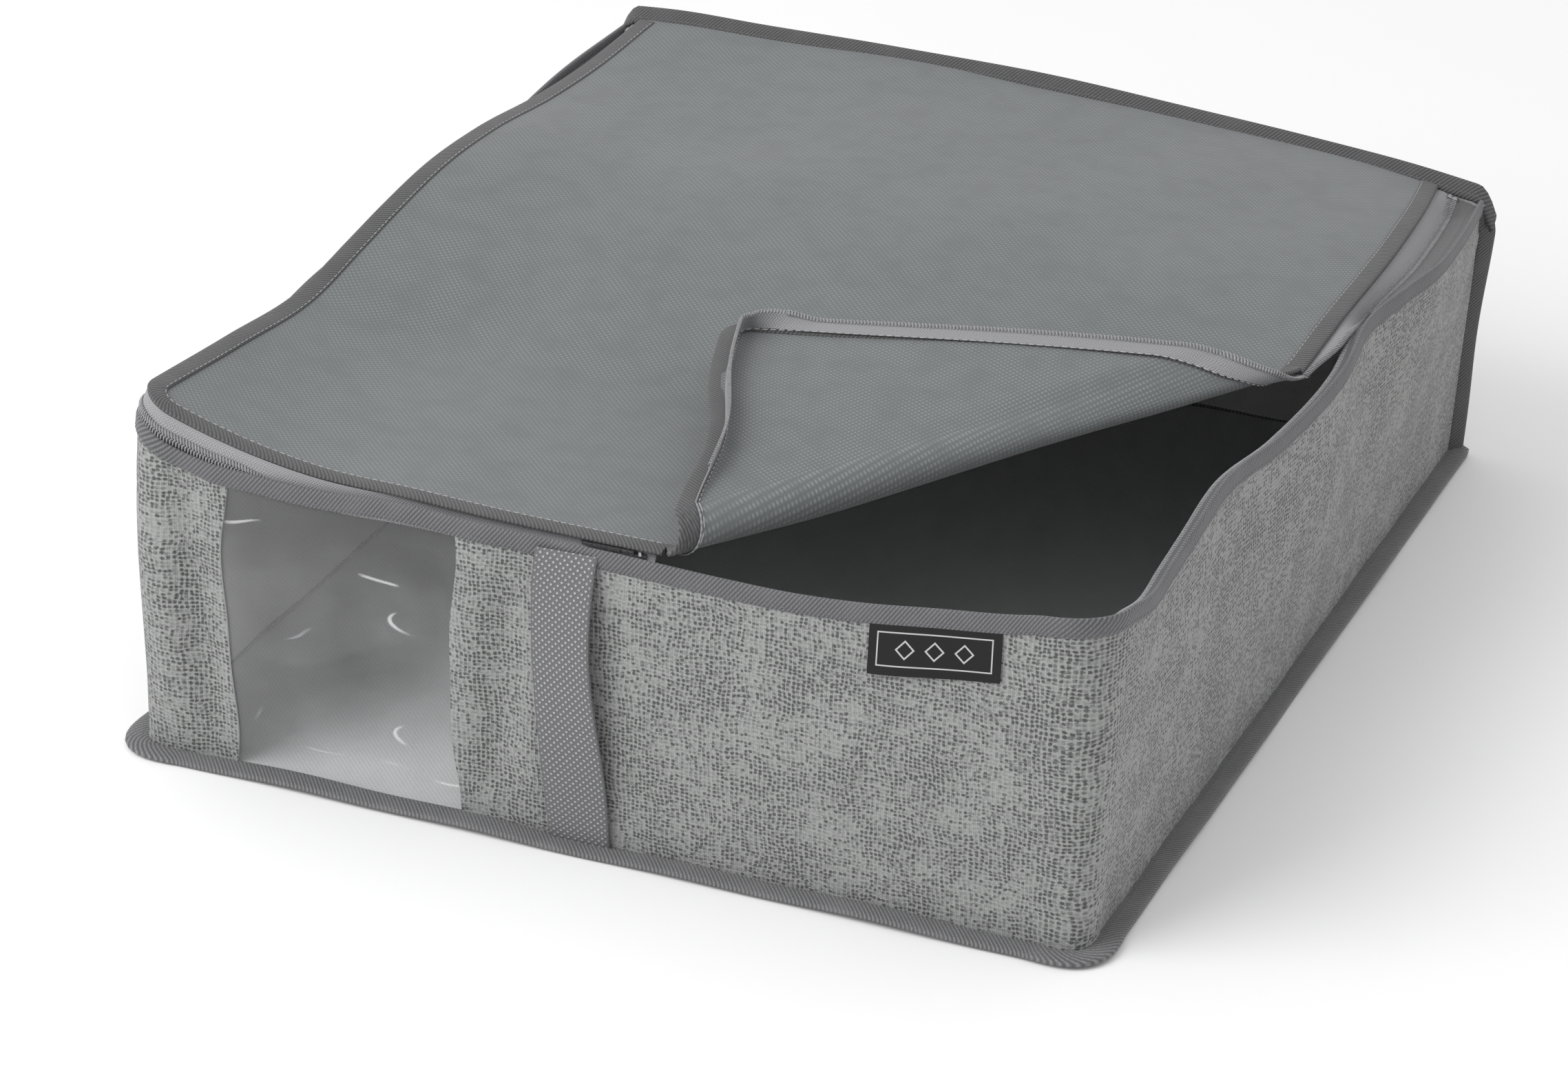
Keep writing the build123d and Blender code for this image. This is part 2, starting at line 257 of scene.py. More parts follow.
def lid_height(x, y):
    """Height of the lid cloth: its four edge curves, each faded across the lid by an S curve, less the
    corners that they count twice, plus shallow creases that are sines of slanting distance."""
    p = 1 - ease((x - LID_LOW_X) / (LID_HIGH_X - LID_LOW_X))
    q = 1 - ease((y - LID_LOW_Y) / (LID_HIGH_Y - LID_LOW_Y))
    corner = [LID_LEFT_KEYS[0][1], LID_RIGHT_KEYS[0][1], LID_LEFT_KEYS[-1][1], LID_RIGHT_KEYS[-1][1]]
    sides = p * through(LID_LEFT_KEYS, y) + (1 - p) * through(LID_RIGHT_KEYS, y)
    ends = q * through(LID_FRONT_KEYS, x) + (1 - q) * through(SEAM_KEYS, x)
    shared = q * (p * corner[0] + (1 - p) * corner[1]) + (1 - q) * (p * corner[2] + (1 - p) * corner[3])
    inside = np.clip((x - LID_LOW_X) * (LID_HIGH_X - x) / 6000, 0, 1) * np.clip((y - LID_LOW_Y) / 60, 0, 1)
    creases = 0.7 * np.sin(x / 31 + y / 57) + 0.5 * np.sin(x / 17 - y / 43 + 1.0) * np.sin(y / 60)
    return sides + ends - shared + inside * creases


def lid_edge(s, inward):
    """Lid's outer edge, or a line that far inside it: the wall line inset by a curve, and its normal."""
    x, y, nx, ny = plan(s)
    inset = through(INSET_KEYS, s) + inward
    return x - nx * inset, y - ny * inset, nx, ny


# ---- the folded corner


def fold_place(x, y):
    """Distances from the fold's axis, outward, and along it, of a place on the closed lid."""
    dx, dy = x - FOLD_AT[0], y - FOLD_AT[1]
    return dx * FOLD_OUT[0] + dy * FOLD_OUT[1], dx * FOLD_ALONG[0] + dy * FOLD_ALONG[1]


def fold_back(out, along):
    """The x and y of a place given by those two distances."""
    return (FOLD_AT[k] + out * FOLD_OUT[k] + along * FOLD_ALONG[k] for k in (0, 1))


ROLL_A = fold_place(SPLIT_X, LID_LOW_Y + CLOTH_IN)
ROLL_B = fold_place(LID_HIGH_X - CLOTH_IN, SPLIT_Y)
CLOSED_Z_KEYS = [(-10, 132.6), (15, 132.6), (60, 134.1), (133, 142.6)]
FRONT_BOW = 7.0


def folded(x, y, h):
    """Place at rest of a place on the closed corner, h above its cloth. Past the roll it is the closed place
    turned back about the axis. In the roll it runs along a cubic from the lid to there, with level ends, so
    the section is near a half circle. Before the roll it is on the lid. The front edge is first bowed in by a
    bell curve."""
    y = y + FRONT_BOW * bell(x, 95, 40) * np.exp(-np.clip(y + 240, 0, None) / 60)
    out, along = fold_place(x, y)
    start = ROLL_A[0] + (ROLL_B[0] - ROLL_A[0]) * (along - ROLL_A[1]) / (ROLL_B[1] - ROLL_A[1])
    end = 1.0 - start
    near = 1 - ease((out - 5) / 20)
    closed_z = through(CLOSED_Z_KEYS, out) + (6 * near - 2.5) * ease((along - 90) / 150)
    beyond = np.maximum(out, end)
    lift = closed_z - FOLD_AT[2]
    c, k = math.cos(FOLD_TURN), math.sin(FOLD_TURN)
    far_out = beyond * c - (lift + h) * k
    far_z = FOLD_AT[2] + beyond * k + (lift + h) * c
    end_out = end * c - lift * k
    end_z = FOLD_AT[2] + end * k + lift * c
    lid_z = lid_height(*fold_back(start, along))
    t = np.clip((out - start) / (end - start), 0, 1)
    reach = 30 + 0.9 * (end_z - lid_z)
    slope_out = 6 * t * (t - 1) * (start - end_out) + (1 - t) * (1 - 3 * t) * reach - t * (3 * t - 2) * reach
    slope_z = 6 * t * (1 - t) * (end_z - lid_z)
    length = np.maximum(np.hypot(slope_out, slope_z), 1e-9)
    roll_out = cubic(t, start, end_out, reach, -reach) - h * slope_z / length
    roll_z = cubic(t, lid_z, end_z, 0, 0) + h * slope_out / length
    before, in_roll = out < start, out < end
    rest_out = np.where(before, out, np.where(in_roll, roll_out, far_out))
    rest_z = np.where(before, lid_height(x, y) + h, np.where(in_roll, roll_z, far_z))
    return xyz(*fold_back(rest_out, along), rest_z)


# ---- meshes


def grid_corners(nu, nv, wrap_u=False, wrap_v=False):
    """Grid places of each quad's four corners, in order round it."""
    rows = np.arange(nu if wrap_u else nu - 1)
    columns = np.arange(nv if wrap_v else nv - 1)
    i, j = (a.ravel() for a in np.meshgrid(rows, columns, indexing="ij"))
    return np.stack([i, i + 1, i + 1, i], 1), np.stack([j, j, j + 1, j + 1], 1)


def faced_out(points, faces, uv, finish):
    """A closed part, with its faces turned over if the space that they enclose comes out negative."""
    p = points - points.mean(0)
    volume = 0.0
    for group in faces:
        for k in range(1, group.shape[1] - 1):
            a, b, c = p[group[:, 0]], p[group[:, k]], p[group[:, k + 1]]
            volume += np.einsum("ij,ij->i", a, np.cross(b, c)).sum()
    if volume < 0:
        faces = [group[:, ::-1] for group in faces]
        uv = [u[:, ::-1] for u in uv]
    return {"points": points, "faces": faces, "uv": uv, "finish": finish}


def cloth(grid, pattern, thick=FABRIC):
    """Closed sheet round a grid of points: each point moved half the thickness up and down its normal, which
    is across the two grid directions, with a rim of faces round the four edges."""
    nu, nv = grid.shape[:2]
    half = unit(np.cross(np.gradient(grid, axis=0), np.gradient(grid, axis=1))) * thick / 2
    points = np.concatenate([(grid + half).reshape(-1, 3), (grid - half).reshape(-1, 3)])
    ci, cj = grid_corners(nu, nv)
    top = ci * nv + cj
    number = np.arange(nu * nv).reshape(nu, nv)
    rim = np.concatenate([number[:-1, 0], number[-1, :-1], number[:0:-1, -1], number[0, :0:-1]])
    after = np.roll(rim, -1)
    sides = np.stack([rim + nu * nv, after + nu * nv, after, rim], 1)
    flat = pattern.reshape(-1, 2)
    faces = [top, top[:, ::-1] + nu * nv, sides]
    uv = [flat[top], flat[top[:, ::-1]], flat[sides % (nu * nv)]]
    return faced_out(points, faces, uv, [0, 1, 1])


def tube(line, across, up, outline, along, closed=False):
    """Outline carried along a line: each of its points is the line's point plus its first number across and
    its second number up. The pattern runs with the distance along and the place across."""
    grid = line[:, None] + across[:, None] * outline[None, :, :1] + up[:, None] * outline[None, :, 1:]
    n, m = grid.shape[:2]
    ci, cj = grid_corners(n, m, closed, True)
    faces = [(ci % n) * m + cj % m]
    spread = np.append(along, 2 * along[-1] - along[-2])
    uv = [xyz(spread[ci], outline[cj % m, 0])]
    if not closed:
        first = np.arange(m)[None, :]
        for ring, turned in ((0, first[:, ::-1]), (n - 1, first)):
            faces.append(turned + ring * m)
            uv.append(xyz(np.full((1, m), along[ring]), outline[turned, 0]))
    return faced_out(grid.reshape(-1, 3), faces, uv, [0] * len(faces))


def puffed(width, thick, count=16, square=3.0):
    """Outline of a folded tape: a superellipse, flat in the middle and round at both edges."""
    t = np.arange(count) * 2 * np.pi / count
    c, s = np.cos(t), np.sin(t)
    a = np.sign(c) * np.abs(c) ** (2 / square) * width / 2
    b = np.sign(s) * np.abs(s) ** (2 / square) * thick / 2
    return np.stack([a, b], 1)


def lengths(line):
    """Distance along a line of points, from its first point."""
    return np.concatenate([[0], np.cumsum(np.linalg.norm(np.diff(line, axis=0), axis=1))])


def read_at(at, run, rows):
    """Rows of vectors, each read at the given distances along the run."""
    return [xyz(*(np.interp(at, run, row[:, k]) for k in range(3))) for row in rows]


def beside(line, across):
    """A way across at every point of a line, and the way up that is square to it and the line."""
    across = np.zeros_like(line) + across
    return across, unit(np.cross(np.gradient(line, axis=0), across))


def coil(line, across, up, pitch=1.4, wide=1.2, high=0.5, wire=0.32, turn=0.0):
    """Zip coil: a wire wound round a line. Its middle goes round an ellipse once for each pitch of distance,
    and a five sided section is carried along it."""
    run = lengths(line)
    steps = np.linspace(0, run[-1], int(run[-1] / pitch * 9))
    core, side, high_way = read_at(steps, run, (line, across, up))
    angle = (2 * np.pi * steps / pitch + turn)[:, None]
    radial = side * np.cos(angle) * wide + high_way * np.sin(angle) * high
    middle = core + radial
    forward = unit(np.gradient(middle, axis=0))
    out = unit(radial - forward * np.einsum("ij,ij->i", radial, forward)[:, None])
    t = np.arange(5) * 2 * np.pi / 5
    return tube(middle, out, np.cross(forward, out), np.stack([np.cos(t), np.sin(t)], 1) * wire, steps)


def stitches(line, across, up, pitch=3.4, length=2.4, radius=0.22):
    """Row of stitches on a line: small capsules of four rings of six points, one for each pitch."""
    run = lengths(line)
    at = np.arange(pitch, run[-1] - pitch / 2, pitch)
    middle, side, high = read_at(at, run, (line, across, up))
    forward = unit(np.cross(side, high))
    t = np.arange(6) * np.pi / 3
    ring = side[:, None] * np.cos(t)[None, :, None] + high[:, None] * np.sin(t)[None, :, None]
    points = []
    for place, size in ((-0.5, 0.35), (-0.32, 1.0), (0.32, 1.0), (0.5, 0.35)):
        points.append(middle[:, None] + forward[:, None] * place * length + ring * radius * size)
    points = np.stack(points, 1).reshape(-1, 3)
    ci, cj = grid_corners(4, 6, False, True)
    first = (np.arange(len(at)) * 24)[:, None, None]
    sides = ((ci * 6 + cj % 6)[None] + first).reshape(-1, 4)
    ends = (np.stack([np.arange(6)[::-1], np.arange(6) + 18])[None] + first).reshape(-1, 6)
    uv = [np.zeros((*f.shape, 2)) for f in (sides, ends)]
    return faced_out(points, [sides, ends], uv, [0, 0])


def make(name, parts, finishes, body=None, stands_for=(), bends=False):
    """Puts parts into one piece, with its finishes, its body and the frame nodes that it stands for."""
    points, faces, uv, finish = [], [], [], []
    count = 0
    for part in parts:
        points.append(part["points"])
        for f, u, k in zip(part["faces"], part["uv"], part["finish"]):
            faces.extend((f + count).tolist())
            uv.append(u.reshape(-1, 2))
            finish.append(np.full(len(f), min(k, len(finishes) - 1)))
        count += len(part["points"])
    mesh = bpy.data.meshes.new(name)
    mesh.from_pydata(np.concatenate(points) * MM, [], faces)
    layer = mesh.uv_layers.new(name="cloth")
    layer.data.foreach_set("uv", np.concatenate(uv).astype(np.float32).ravel())
    mesh.polygons.foreach_set("material_index", np.concatenate(finish).astype(np.int32))
    mesh.shade_smooth()
    mesh.set_sharp_from_angle(angle=math.radians(55))
    for f in finishes:
        mesh.materials.append(f)
    piece = bpy.data.objects.new(name, mesh)
    scene.collection.objects.link(piece)
    if bends:
        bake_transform(piece)
    else:
        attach(piece, body)
    if stands_for:
        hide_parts(*stands_for)
    return piece


# ---- finishes


class Finish:
    """A material's nodes, made by short calls. A given socket is linked and a given number is set."""

    def __init__(self, name):
        self.material = bpy.data.materials.new(name)
        self.material.use_nodes = True
        self.tree = self.material.node_tree
        self.tree.nodes.clear()

    def give(self, socket, value):
        if isinstance(value, bpy.types.NodeSocket):
            self.tree.links.new(value, socket)
        else:
            socket.default_value = value

    def node(self, kind, inputs=(), **settings):
        n = self.tree.nodes.new("ShaderNode" + kind)
        for key, value in settings.items():
            setattr(n, key, value)
        for key, value in dict(inputs).items():
            self.give(n.inputs[key], value)
        return n

    def math(self, operation, a, b=0.0, c=0.0):
        return self.node("Math", {0: a, 1: b, 2: c}, operation=operation).outputs[0]

    def times(self, a, b):
        return self.math("MULTIPLY", a, b)

    def plus(self, a, share, b):
        """b and a share of a."""
        return self.math("MULTIPLY_ADD", a, share, b)

    def ramp(self, value, low, high, start=0.0, end=1.0):
        """value from low to high becomes start to end, along an S curve."""
        inputs = {0: value, 1: low, 2: high, 3: start, 4: end}
        return self.node("MapRange", inputs, interpolation_type="SMOOTHSTEP").outputs[0]

    def mix(self, share, a, b):
        n = self.node("Mix", data_type="RGBA")
        self.give(n.inputs[0], share)
        self.give(n.inputs[6], a)
        self.give(n.inputs[7], b)
        return n.outputs[2]

    def place(self, scale=(1, 1, 1), turn=0.0):
        """The pattern's own millimetres, scaled and then turned."""
        uv = self.node("UVMap", uv_map="cloth").outputs[0]
        inputs = {"Vector": uv, "Rotation": (0, 0, turn), "Scale": scale}
        return self.node("Mapping", inputs, vector_type="POINT").outputs[0]

    def noise(self, where, scale=1.0, detail=2.0, rough=0.5):
        inputs = {"Vector": where, "Scale": scale, "Detail": detail, "Roughness": rough}
        return self.node("TexNoise", inputs).outputs[0]

    def wave(self, pitch, axis="X", turn=0):
        """0 to 1 sine along one axis of the pattern turned by so many degrees, one wave for each pitch."""
        where = self.place((1 / pitch, 1 / pitch, 1), math.radians(turn))
        turned = self.times(self.node("SeparateXYZ", {0: where}).outputs[axis], 2 * math.pi)
        return self.plus(self.math("SINE", turned), 0.5, 0.5)

    def dots(self, pitch):
        """0 to 1 dots on a grid at 45 degrees: two waves multiplied."""
        return self.times(self.wave(pitch, "X", 45), self.wave(pitch, "Y", 45))

    def bump(self, height, distance, strength):
        inputs = {"Height": height, "Distance": distance, "Strength": strength}
        return self.node("Bump", inputs).outputs[0]

    def done(self, colour, roughness, normal=None, **fixed):
        shader = self.node("BsdfPrincipled")
        self.give(shader.inputs["Base Color"], colour)
        self.give(shader.inputs["Roughness"], roughness)
        if normal is not None:
            self.give(shader.inputs["Normal"], normal)
        for key, value in fixed.items():
            self.give(shader.inputs[key.replace("_", " ")], value)
        out = self.node("OutputMaterial")
        self.tree.links.new(shader.outputs[0], out.inputs[0])
        return self.material


def grey(value, blue=0.0, green=0.0):
    """A near grey colour."""
    return (value, value * (1 + green), value * (1 + blue), 1)


PRINT_X, PRINT_Y = 1.95, 1.8


def print_cloth(name, base, fleck):
    """Light cloth printed to look like coarse linen: dark flecks on a loose 1.9 mm grid, with short dashes
    along the rows and columns, thick in cloudy patches and along some threads, over a fine weave."""
    f = Finish(name)
    mm = f.place()

    def strokes(pitch, axis, stretch):
        """Broken lines: a wave's crests, kept where a stretched noise is high."""
        kept = f.ramp(f.noise(f.place(stretch), 1.0, 1.0), 0.5, 0.68)
        return f.times(f.ramp(f.wave(pitch, axis), 0.5, 0.95), kept)

    sway = f.node("TexNoise", {"Vector": mm, "Scale": 0.05, "Detail": 1.0}).outputs["Color"]
    sway = f.node("VectorMath", {0: sway, 1: (0.5, 0.5, 0.5)}, operation="SUBTRACT").outputs[0]
    place = f.node("VectorMath", {0: sway, 1: (5, 5, 0), 2: mm}, operation="MULTIPLY_ADD").outputs[0]
    pitch = (1 / PRINT_X, 1 / PRINT_Y, 1)
    cells = f.node("VectorMath", {0: place, 1: pitch}, operation="MULTIPLY").outputs[0]
    dots = f.node("TexVoronoi", {"Vector": cells, "Scale": 1.0, "Randomness": 0.38}, voronoi_dimensions="2D")
    fine = f.noise(mm, 1.1, 2.0, 0.7)
    chance = f.node("SeparateColor", {0: dots.outputs["Color"]}).outputs[0]
    clouds = f.noise(mm, 0.035, 3.0, 0.6)
    rows = f.noise(f.place((0.05, 0.5, 1)), 1.0, 1.0)
    columns = f.noise(f.place((0.5, 0.05, 1)), 1.0, 1.0)
    dense = f.plus(clouds, 1.4, f.math("ADD", rows, columns))
    dense = f.plus(chance, 0.7, dense)
    ragged = f.plus(fine, -0.5, f.math("ADD", dots.outputs["Distance"], 0.25))
    spots = f.times(f.ramp(ragged, 0.54, 0.24), f.ramp(dense, 1.58, 2.3, 0.25, 1.0))
    dashes = strokes(PRINT_Y, "Y", (0.22, 1.1, 1))
    drops = strokes(PRINT_X, "X", (1.1, 0.22, 1))
    lines = f.times(f.math("MAXIMUM", dashes, drops), f.ramp(dense, 1.58, 2.3, 0.3, 0.8))
    mark = f.math("MAXIMUM", spots, lines)
    weave = f.times(f.wave(0.83), f.wave(0.8, "Y"))
    tone = f.mix(f.ramp(clouds, 0.35, 0.65), grey(base * 1.04, 0.0, 0.025), grey(base * 0.95, 0.0, 0.025))
    tone = f.mix(f.times(weave, 0.22), tone, grey(base * 1.35, -0.01))
    tone = f.mix(f.ramp(fine, 0.35, 0.7, 0.0, 0.3), tone, grey(base * 0.6))
    colour = f.mix(f.times(mark, 0.9), tone, grey(fleck, 0.02))
    height = f.plus(fine, 0.5, weave)
    return f.done(colour, 0.92, f.bump(height, 0.00025, 0.6), Sheen_Weight=0.12, Sheen_Roughness=0.6)


def plain_cloth(name, base, bond, blue, green, spots):
    """Plain non woven cloth: dimples in a slanting grid, bumped and painted lighter as highlights, over a
    fibrous ground with soft cloudy tone.
    """
    f = Finish(name)
    mm = f.place()
    dimple = f.dots(bond)
    fine = f.noise(mm, 1.6, 3.0, 0.7)
    clouds = f.noise(mm, 0.02, 3.0, 0.55)
    tone = f.mix(f.ramp(clouds, 0.3, 0.7), grey(base * 0.96, blue, green), grey(base * 1.04, blue, green))
    tone = f.mix(f.ramp(fine, 0.3, 0.75, 0.0, 0.45), tone, grey(base * 0.6, blue, green))
    # Painted highlight: each dimple's colour is lifted towards 1.75 times the base colour, by a share that
    # wanders between half of spots and all of it.
    strength = f.times(dimple, f.ramp(f.noise(mm, 0.07, 2.0), 0.3, 0.6, spots * 0.5, spots))
    colour = f.mix(strength, tone, grey(base * 1.75, blue, green))
    height = f.plus(fine, 0.4, dimple)
    return f.done(colour, 0.78, f.bump(height, 0.0002, 0.55), Sheen_Weight=0.15, Sheen_Roughness=0.5)


def twill_tape(name, base, blue=0.03):
    """Folded twill tape: slanting ribs 1.4 mm apart, crossed by finer picks, worn and fuzzy in places."""
    f = Finish(name)
    mm = f.place()
    ribs = f.wave(1.4, turn=38)
    fuzz = f.noise(mm, 1.3, 3.0, 0.7)
    worn = f.noise(mm, 0.06, 2.0)
    tone = f.mix(ribs, grey(base * 0.5, blue), grey(base * 1.65, blue))
    tone = f.mix(f.times(f.wave(1.1), 0.35), tone, grey(base * 0.6, blue))
    tone = f.mix(f.ramp(worn, 0.4, 0.75, 0.0, 0.35), tone, grey(base * 1.4, blue))
    tone = f.mix(f.ramp(fuzz, 0.35, 0.75, 0.0, 0.4), tone, grey(base * 0.5, blue))
    height = f.plus(fuzz, 0.6, ribs)
    return f.done(tone, 0.85, f.bump(height, 0.0003, 0.7), Sheen_Weight=0.15, Sheen_Roughness=0.5)


def woven_tape(name, base):
    """Zip tape: fine herringbone weave."""
    f = Finish(name)
    mm = f.place()
    side = f.ramp(f.wave(3.0, "Y"), 0.48, 0.52)
    left = f.times(f.wave(0.9, turn=45), side)
    right = f.times(f.wave(0.9, turn=-45), f.math("SUBTRACT", 1.0, side))
    weave = f.math("ADD", left, right)
    fuzz = f.noise(mm, 1.5, 2.0, 0.6)
    tone = f.mix(weave, grey(base * 0.75, 0.05), grey(base * 1.3, 0.05))
    tone = f.mix(f.ramp(fuzz, 0.4, 0.75, 0.0, 0.35), tone, grey(base * 0.55, 0.05))
    return f.done(tone, 0.6, f.bump(weave, 0.0002, 0.6), Sheen_Weight=0.3, Sheen_Roughness=0.4)


def webbing(name, base):
    """Carrying strap: grey weave with pale staggered dots 3 mm apart and darker selvedges."""
    f = Finish(name)
    mm = f.place()
    dot = f.dots(2.1)
    picks = f.wave(0.8)
    fuzz = f.noise(mm, 1.4, 3.0, 0.6)
    tone = f.mix(f.times(picks, 0.35), grey(base, 0.05), grey(base * 0.65, 0.05))
    tone = f.mix(f.ramp(dot, 0.45, 0.75), tone, grey(base * 3.0, 0.05))
    across = f.node("SeparateXYZ", {0: mm}).outputs["Y"]
    edge = f.ramp(f.math("ABSOLUTE", across), 11.4, 12.4)
    tone = f.mix(f.times(edge, 0.7), tone, grey(base * 0.8, 0.05))
    tone = f.mix(f.ramp(fuzz, 0.4, 0.8, 0.0, 0.3), tone, grey(base * 0.5, 0.05))
    height = f.plus(picks, 0.3, dot)
    return f.done(tone, 0.7, f.bump(height, 0.0004, 0.8), Sheen_Weight=0.2, Sheen_Roughness=0.4)


def satin_label(name):
    """Black satin label with a pale woven frame line and three diamonds."""
    f = Finish(name)
    parts = f.node("SeparateXYZ", {0: f.place()}).outputs
    px, py = parts["X"], parts["Y"]
    inner = f.math("MAXIMUM", f.math("ABSOLUTE", px), f.math("ADD", f.math("ABSOLUTE", py), 16.5))
    line = f.math("COMPARE", inner, 23.3, 0.28)
    third = f.math("SUBTRACT", f.math("FRACT", f.math("DIVIDE", f.math("ADD", px, 18.0), 12.0)), 0.5)
    lozenge = f.math("ADD", f.math("ABSOLUTE", f.times(third, 12.0)), f.math("ABSOLUTE", py))
    within = f.math("LESS_THAN", f.math("ABSOLUTE", px), 18.0)
    ring = f.times(f.math("COMPARE", lozenge, 3.6, 0.45), within)
    mark = f.math("MAXIMUM", line, ring)
    pick = f.wave(0.35, "Y")
    ground = f.mix(pick, grey(0.005), grey(0.009))
    colour = f.mix(f.times(mark, 0.8), ground, grey(0.55))
    return f.done(colour, 0.5, f.bump(pick, 0.0001, 0.4), Specular_IOR_Level=0.25)


def plastic(name, base, roughness, metallic=0.0):
    """Smooth nylon or plated metal, with a faint drawn grain."""
    f = Finish(name)
    where = f.node("TexCoord").outputs["Object"]
    grain = f.noise(where, 900.0, 2.0)
    tone = f.mix(f.ramp(grain, 0.35, 0.7), grey(base * 0.85, 0.03), grey(base * 1.1, 0.03))
    rough = f.ramp(grain, 0.3, 0.7, roughness * 0.85, roughness * 1.2)
    return f.done(tone, rough, f.bump(grain, 0.00002, 0.5), Metallic=metallic)


def clear_film(name):
    """Clear soft film with a faint grey cast, and painted glints: fine pale lines, made more opaque, along a
    noise's middle contour, kept only in some places."""
    f = Finish(name)
    mm = f.place()
    crease = f.noise(mm, 0.05, 4.0, 0.6)
    haze = f.noise(mm, 0.02, 2.0)
    alpha = f.ramp(haze, 0.3, 0.8, 0.05, 0.09)
    # Painted glints: pale lines along the middle contour of a stretched noise, made more opaque where another
    # noise keeps them, stand in for highlights on the film.
    painted_glint_noise = f.noise(f.place((0.011, 0.03, 1), 0.35), 1.0, 1.0)
    painted_glint_line = f.ramp(f.math("ABSOLUTE", f.math("SUBTRACT", painted_glint_noise, 0.5)), 0.009, 0.002)
    kept = f.ramp(f.noise(mm, 0.03, 1.0), 0.53, 0.66)
    alpha = f.plus(f.times(painted_glint_line, kept), 0.28, alpha)
    normal = f.bump(crease, 0.004, 0.5)
    return f.done(grey(0.85, 0.02), 0.1, normal, Alpha=alpha, Coat_Weight=0.6, Coat_Roughness=0.05)


wall_print = print_cloth("printed_wall_cloth", 0.305, 0.035)
# The last number of each plain cloth sets how strongly its dimples are painted with highlights; the lid's
# inside gets the most.
wall_back = plain_cloth("wall_cloth_reverse", 0.5, 1.8, 0.0, 0.0, 0.15)
lid_top = plain_cloth("lid_cloth_outside", 0.135, 1.85, 0.085, 0.07, 0.8)
lid_under = plain_cloth("lid_cloth_inside", 0.128, 1.95, 0.09, 0.07, 0.95)
base_cloth = plain_cloth("base_cloth", 0.6, 1.6, 0.02, 0.01, 0.2)
dark_tape = twill_tape("dark_twill_binding", 0.082)
base_tape = twill_tape("base_twill_binding", 0.142)
rim_tape = twill_tape("rim_twill_binding", 0.118, 0.06)
silver_tape = woven_tape("silver_zip_tape", 0.26)
body_weave = woven_tape("grey_zip_tape", 0.07)
nylon = plastic("nylon_zip_coil", 0.3, 0.35)
strap_weave = webbing("strap_webbing", 0.135)
label_satin = satin_label("black_satin_label")
window_clear = clear_film("clear_window_film")
thread = plastic("sewing_thread", 0.42, 0.6)
dark_thread = plastic("grey_sewing_thread", 0.13, 0.6)
plated = plastic("plated_slider_metal", 0.45, 0.3, metallic=0.9)

# ---- walls, window and base


def window_edge(side, v):
    """Wavy edge of the window, where the cloth is cut: the window's side plus two sines of the height."""
    wave = 1.6 * np.sin(7.5 * v + 1.2 * side) + 0.7 * np.sin(15 * v + side)
    return on_front(WINDOW[side]) + wave


def wall_sheet(name, from_s, to_s, count, stands_for):
    """Side wall: the wall surface between two lines that may wander with the height."""
    v = np.linspace(0.006, 0.985, 46)[None, :]
    share = np.linspace(0, 1, count)[:, None]
    s = from_s(v) + (to_s(v) - from_s(v)) * share
    v = v + 0 * s
    grid = wall(s, v)
    pattern = xyz(s, v * rim_height(s))
    piece = make(name, [cloth(grid, pattern)], [wall_print, wall_back], "box", stands_for)


wall_sheet("left_wall_cloth", lambda v: 0 * v, lambda v: window_edge(0, v), 190, ["side_wall_left"])
wall_sheet("right_wall_cloth", lambda v: window_edge(1, v), lambda v: WALL_END + 0 * v, 300,
           ["side_wall_right"])


def window_sheet():
    """Window film: the wall surface a little further in, with slanting creases that are bell curves of v."""
    v = np.linspace(0.01, 0.98, 60)[None, :]
    from_s, to_s = window_edge(0, v) - FILM_TUCK, window_edge(1, v) + FILM_TUCK
    s = from_s + (to_s - from_s) * np.linspace(0, 1, 70)[:, None]
    v = v + 0 * s
    x, y, nx, ny = plan(s)
    across = (s - on_front(WINDOW[0])) / (WINDOW[1] - WINDOW[0])
    inside = np.clip(arch(np.clip(across, 0, 1)), 0, 1) * arch(v)
    ridge = 2.2 * bell(v, 0.42 + 0.1 * across - 0.05 * np.sin(6 * across), 0.035)
    ridge = ridge + 1.4 * bell(v, 0.25 + 0.3 * across, 0.04) - 1.5 * bell(v, 0.7 - 0.15 * across, 0.08)
    move = ridge * inside - FABRIC - 0.1
    grid = wall(s, v) + xyz(nx * move, ny * move, 0 * move)
    film = cloth(grid, xyz(s, v * 136), 0.4)
    piece = make("window_sheet", [film], [window_clear], "box", ["window_film"])


window_sheet()


def back_sheet():
    """Back wall: a flat sheet up to the sloping back seam, with a shallow belly and leaning top."""
    p = np.linspace(0, 1, 140)[:, None]
    v = np.linspace(0.006, 0.985, 40)[None, :] + 0 * p
    x = (1 - p) * (-WALL_X - 4 * v ** 1.4) + p * (WALL_X + 9 * v ** 1.4)
    z = v * through(SEAM_KEYS, x)
    y = BACK_Y - 0.4 + (2.0 * arch(p) + 0.8 * np.sin(x / 33 + 3 * v)) * arch(v)
    sheet = cloth(xyz(x, y, z), xyz(x + 2000, z))
    piece = make("back_wall_cloth", [sheet], [wall_back, wall_print], "box", ["back_wall"])
    facing_out = np.array([f.normal.y > 0 for f in piece.data.polygons], np.int32)
    piece.data.polygons.foreach_set("material_index", facing_out)


back_sheet()


